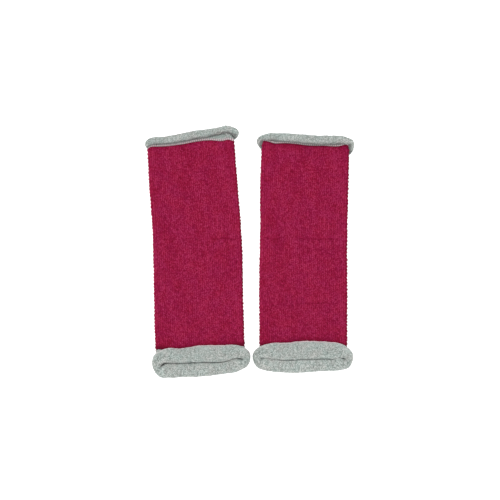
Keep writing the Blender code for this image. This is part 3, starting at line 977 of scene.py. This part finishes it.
def yarn(name, look):
    """Wool knit: the yarn's colour wanders over a centimetre or so, every stitch differs a little, and
    painted shade darkens it down between the stitches and wherever little light gets in."""
    material = bpy.data.materials.new(name)
    material.use_nodes = True
    tree = material.node_tree
    shader = tree.nodes["Principled BSDF"]
    place = add(tree, "ShaderNodeTexCoord").outputs["Object"]
    stitches = add(tree, "ShaderNodeUVMap", uv_map="stitches").outputs[0]

    def noise(where, scale, detail, rough=0.5, stretch=None):
        if stretch is not None:
            mapping = add(tree, "ShaderNodeMapping")
            tree.links.new(where, mapping.inputs["Vector"])
            mapping.inputs["Scale"].default_value = stretch
            where = mapping.outputs[0]
        made = add(tree, "ShaderNodeTexNoise")
        tree.links.new(where, made.inputs["Vector"])
        made.inputs["Scale"].default_value = scale
        made.inputs["Detail"].default_value = detail
        made.inputs["Roughness"].default_value = rough
        return made.outputs["Fac"]

    # How light the yarn is, 0 to 1: every leg of a stitch differs, along a course the yarn keeps its
    # shade for a few stitches, and painted shade makes the cloth darker down between the stitches.
    def cells(scale):
        mapping = add(tree, "ShaderNodeMapping")
        tree.links.new(stitches, mapping.inputs["Vector"])
        mapping.inputs["Scale"].default_value = scale
        floor = add(tree, "ShaderNodeVectorMath", operation="FLOOR")
        tree.links.new(mapping.outputs[0], floor.inputs[0])
        made = add(tree, "ShaderNodeTexWhiteNoise", noise_dimensions="2D")
        tree.links.new(floor.outputs[0], made.inputs["Vector"])
        return made.outputs["Value"]

    # This attribute holds each point's stitch height with painted shade: darker down between the
    # stitches, in the creases, beside the bands, round the folds and under the rolls.
    relief_and_painted_shade = add(tree, "ShaderNodeAttribute", attribute_name="relief_and_painted_shade").outputs["Fac"]
    parts = (
        (cells(look["cell"]), look["leg"]),
        (cells((2.0, 0.6, 1.0)), look["streak"]),
        (noise(stitches, 1.0, 2.0, 0.5, (0.35, 1.0, 1.0)), look["drawn"]),
        (noise(place, look["patch"] * 1.7, 3.0, 0.6), look["cloud"]),
        (noise(stitches, 1.0, 1.0, 0.5, (0.13, 0.02, 1.0)), look["long"]),
        (noise(stitches, 2.6, 2.0, 0.6, (1.2, 1.0, 1.0)), look["fine"]),
        (relief_and_painted_shade, look["relief_and_painted_shade"]),
    )
    tone = look["tone"]
    for value, much in parts:
        away = maths(tree, "SUBTRACT", value, 0.5)
        tone = maths(tree, "ADD", maths(tree, "MULTIPLY", away, much), tone)

    def shades(colours):
        ramp = add(tree, "ShaderNodeValToRGB")
        tree.links.new(tone, ramp.inputs[0])
        bar = ramp.color_ramp
        bar.elements[0].position, bar.elements[0].color = 0.0, colours[0]
        bar.elements[1].position, bar.elements[1].color = 1.0, colours[2]
        middle = bar.elements.new(0.5)
        middle.color = colours[1]
        return ramp.outputs[0]

    # The dye leans one way or the other in patches of about a centimetre.
    patches = noise(place, look["patch"], 3.0, 0.6)
    lean = add(tree, "ShaderNodeMapRange")
    tree.links.new(patches, lean.inputs["Value"])
    lean.inputs["From Min"].default_value = 0.36
    lean.inputs["From Max"].default_value = 0.64
    both = add(tree, "ShaderNodeMix", data_type="RGBA")
    tree.links.new(lean.outputs[0], both.inputs["Factor"])
    tree.links.new(shades(look["one_way"]), both.inputs["A"])
    tree.links.new(shades(look["other_way"]), both.inputs["B"])

    # A few pale fibres.
    dots = noise(stitches, 2.1, 1.0, 0.5, (1.0, 0.8, 1.0))
    pale = add(tree, "ShaderNodeMapRange")
    tree.links.new(dots, pale.inputs["Value"])
    pale.inputs["From Min"].default_value = look["fleck_from"]
    pale.inputs["From Max"].default_value = look["fleck_from"] + 0.1
    pale.inputs["To Max"].default_value = look["fleck_much"]
    mix = add(tree, "ShaderNodeMix", data_type="RGBA")
    tree.links.new(pale.outputs[0], mix.inputs["Factor"])
    tree.links.new(both.outputs["Result"], mix.inputs["A"])
    mix.inputs["B"].default_value = look["fleck"]
    # Wool of the other colour where the two meet, a pale pink lighter than either yarn: partly a painted
    # highlight.
    tint_and_painted_shade = add(tree, "ShaderNodeAttribute", attribute_name="tint_and_painted_shade").outputs["Fac"]
    dyed = add(tree, "ShaderNodeMix", data_type="RGBA")
    tree.links.new(maths(tree, "MULTIPLY", tint_and_painted_shade, 1.0, clamp=True), dyed.inputs["Factor"])
    tree.links.new(mix.outputs["Result"], dyed.inputs["A"])
    dyed.inputs["B"].default_value = look["meeting_and_highlight"]
    # Painted shade: where hardly any light gets in, between the first stitches, under the rolls, beside
    # the bands and round the right-hand folds, the colour is darkened towards a dim one.
    dim = add(tree, "ShaderNodeMix", data_type="RGBA")
    tree.links.new(maths(tree, "MULTIPLY", tint_and_painted_shade, -1.0, clamp=True), dim.inputs["Factor"])
    tree.links.new(dyed.outputs["Result"], dim.inputs["A"])
    dim.inputs["B"].default_value = look["dim"]
    tree.links.new(dim.outputs["Result"], shader.inputs["Base Color"])

    # Twisted fibres along the yarn, too fine to model.
    fibres = noise(stitches, 5.0, 4.0, 0.7, (2.2, 1.0, 1.0))
    bump = add(tree, "ShaderNodeBump")
    bump.inputs["Strength"].default_value = 0.35
    bump.inputs["Distance"].default_value = 0.00025
    tree.links.new(fibres, bump.inputs["Height"])
    tree.links.new(bump.outputs[0], shader.inputs["Normal"])
    shader.inputs["Roughness"].default_value = look["rough"]
    shader.inputs["Specular IOR Level"].default_value = look["specular"]
    shader.inputs["Sheen Weight"].default_value = look["sheen"]
    shader.inputs["Sheen Roughness"].default_value = 0.45
    shader.inputs["Sheen Tint"].default_value = look["sheen_tint"]
    shader.inputs["Metallic"].default_value = 0.0
    return material


LOOKS = {
    "raspberry_knit": dict(
        patch=85.0,
        one_way=(
            (0.1280, 0.0002, 0.0168, 1.0),
            (0.2010, 0.0025, 0.0355, 1.0),
            (0.2900, 0.0205, 0.0740, 1.0),
        ),
        other_way=(
            (0.1300, 0.0002, 0.0130, 1.0),
            (0.2080, 0.0023, 0.0285, 1.0),
            (0.3000, 0.0193, 0.0640, 1.0),
        ),
        tone=0.5,
        cell=(3.0, 2.0, 1.0),
        leg=0.86,
        streak=0.32,
        drawn=0.08,
        cloud=0.24,
        long=0.42,
        fine=0.34,
        relief_and_painted_shade=0.58,
        fleck=(0.3600, 0.0960, 0.1600, 1.0),
        fleck_from=0.70,
        fleck_much=0.5,
        # pale pink where the colours meet, partly a painted highlight
        meeting_and_highlight=(0.60, 0.34, 0.40, 1.0),
        # the dark colour of the painted shade
        dim=(0.050, 0.001, 0.009, 1.0),
        rough=0.95,
        specular=0.12,
        sheen=0.0,
        sheen_tint=(1.0, 0.55, 0.70, 1.0),
    ),
    "silver_grey_knit": dict(
        patch=110.0,
        one_way=(
            (0.1130, 0.1370, 0.1290, 1.0),
            (0.2280, 0.2680, 0.2500, 1.0),
            (0.3990, 0.4390, 0.4190, 1.0),
        ),
        other_way=(
            (0.1250, 0.1310, 0.1240, 1.0),
            (0.2470, 0.2620, 0.2448, 1.0),
            (0.4270, 0.4330, 0.4160, 1.0),
        ),
        tone=0.5,
        cell=(3.0, 3.0, 1.0),
        leg=0.90,
        streak=0.15,
        drawn=0.05,
        cloud=0.12,
        long=0.10,
        fine=0.2,
        relief_and_painted_shade=0.35,
        fleck=(0.4800, 0.4960, 0.4800, 1.0),
        fleck_from=0.66,
        fleck_much=0.5,
        # pale pink where the colours meet, partly a painted highlight
        meeting_and_highlight=(0.60, 0.34, 0.40, 1.0),
        # the dark colour of the painted shade
        dim=(0.040, 0.022, 0.026, 1.0),
        rough=0.95,
        specular=0.12,
        sheen=0.25,
        sheen_tint=(1.0, 1.0, 1.0, 1.0),
    ),
}


def pair_middle():
    """Where the middle of the pair lies, in the frame the tables are in: the
    maker's own coarse grids have to be measured, so that both models share it."""
    low, high = np.full(3, 1e9), np.full(3, -1e9)
    for w in WARMERS.values():
        share = round_shares(w)
        g, t = np.meshgrid(share, np.array(ALONG), indexing="ij")
        grids = [tube_points(w, g, t, WALL / 2), tube_points(w, g, t, -WALL / 2)]
        for end in ("lower", "upper"):
            for out in (WALL / 2, -WALL / 2):
                grids.append(rim_points(w, end, share, out, ROLL_STEPS))
        turn, move = placing(w)
        world = np.concatenate([k.reshape(-1, 3) for k in grids]) @ turn.T + move
        low, high = np.minimum(low, world.min(0)), np.maximum(high, world.max(0))
    return (low + high) / 2 * np.array([1.0, 1.0, 0.0])


def placing(w):
    angle = math.radians(w["turn"])
    turn = np.array(
        [
            [math.cos(angle), -math.sin(angle), 0],
            [math.sin(angle), math.cos(angle), 0],
            [0, 0, 1],
        ]
    )
    return turn, np.array([*w["at"], 0.0])


def build():
    materials = {name: yarn(name, look) for name, look in LOOKS.items()}
    middle = pair_middle()
    tube_samples = wale_samples(*FINE_WALES)
    cuff_samples = wale_samples(0, WALES)
    made = {}
    for number, (side, w) in enumerate(WARMERS.items()):
        turn, move = placing(w)
        move = move - middle
        courses = int(round(w["length"] / COURSE))
        outer = tube_grid(side, w, tube_samples, np.arange(2 * courses + 1), 1, 100 * number + 11)
        inner = tube_grid(side, w, tube_samples, np.linspace(0, 1, 13), -1, 100 * number + 11)
        name = side + "_tube"
        made[name] = shell(name + "_knit", outer, inner, turn, move, materials["raspberry_knit"])
        low, high = lines(w, tube_samples[0])
        print(name, "cloth", round(float((high - low).mean()), 1))
        for end in ("lower", "upper"):
            table = w[end + "_rim"]
            some = np.array([0.1, 0.25, 0.4, 0.6, 0.75, 0.9])
            flat, deep, high = (lookup(table, some, c, True) for c in (1, 2, 3))
            cloth = roll(flat, deep, high, TURN[end], ROLL_FINE)[4][:, -1].mean()
            rows = np.arange(2 * int(round(cloth / COURSE)) + 1)
            seed = 100 * number + (31 if end == "lower" else 61)
            inside = cuff_grid(side, w, end, cuff_samples, rows, 1, seed)
            outside = cuff_grid(side, w, end, cuff_samples, rows, -1, seed + 7)
            if end == "lower":
                inside, outside = (
                    tuple(v[:, ::-1] for v in inside),
                    tuple(v[:, ::-1] for v in outside),
                )
            name = f"{side}_{end}_cuff"
            made[name] = shell(name + "_knit", inside, outside, turn, move, materials["silver_grey_knit"])
            print(name, "cloth", round(float(cloth), 1))
    return made, middle


def table_and_light(middle):
    """A white table, an even white surround and two soft lamps, and the camera."""
    bpy.ops.mesh.primitive_plane_add(size=30.0, location=(0, 0, -0.0002))
    floor = bpy.context.object
    floor.name = "table_top"
    paper = bpy.data.materials.new("white_paper")
    paper.use_nodes = True
    shader = paper.node_tree.nodes["Principled BSDF"]
    shader.inputs["Base Color"].default_value = (0.96, 0.96, 0.96, 1)
    shader.inputs["Roughness"].default_value = 0.9
    shader.inputs["Specular IOR Level"].default_value = 0.1
    shader.inputs["Emission Color"].default_value = (1, 1, 1, 1)
    shader.inputs["Emission Strength"].default_value = 0.45
    floor.data.materials.append(paper)

    scene = bpy.context.scene
    world = bpy.data.worlds.new("studio")
    world.use_nodes = True
    sky = world.node_tree.nodes["Background"]
    sky.inputs[0].default_value = (1, 1, 1, 1)
    sky.inputs[1].default_value = 1.50
    scene.world = world
    for name, place, size, power in (
        ("softbox", (-0.45, -0.20, 1.7), 1.5, 4.0),
        ("fill", (0.9, 0.4, 1.5), 1.2, 0.8),
    ):
        lamp = bpy.data.lights.new(name, "AREA")
        lamp.shape, lamp.size, lamp.energy = "SQUARE", size, power
        thing = bpy.data.objects.new(name, lamp)
        thing.location = place
        thing.rotation_euler = (-Vector(place)).to_track_quat("-Z", "Y").to_euler()
        scene.collection.objects.link(thing)

    lens = bpy.data.cameras.new("camera")
    lens.type, lens.ortho_scale = "ORTHO", 0.5
    camera = bpy.data.objects.new("camera", lens)
    high = math.radians(70)
    aim = Vector((-middle[0] * MM, -middle[1] * MM, 0.0))
    back = Vector((0.0, -math.cos(high), math.sin(high)))
    camera.location = aim + back * 3.0
    camera.rotation_euler = (-back).to_track_quat("-Z", "Y").to_euler()
    scene.collection.objects.link(camera)
    scene.camera = camera
    scene.view_settings.view_transform = "Standard"


made, middle = build()
table_and_light(middle)

for node_name, piece in made.items():
    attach(piece, "root")
    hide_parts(node_name)
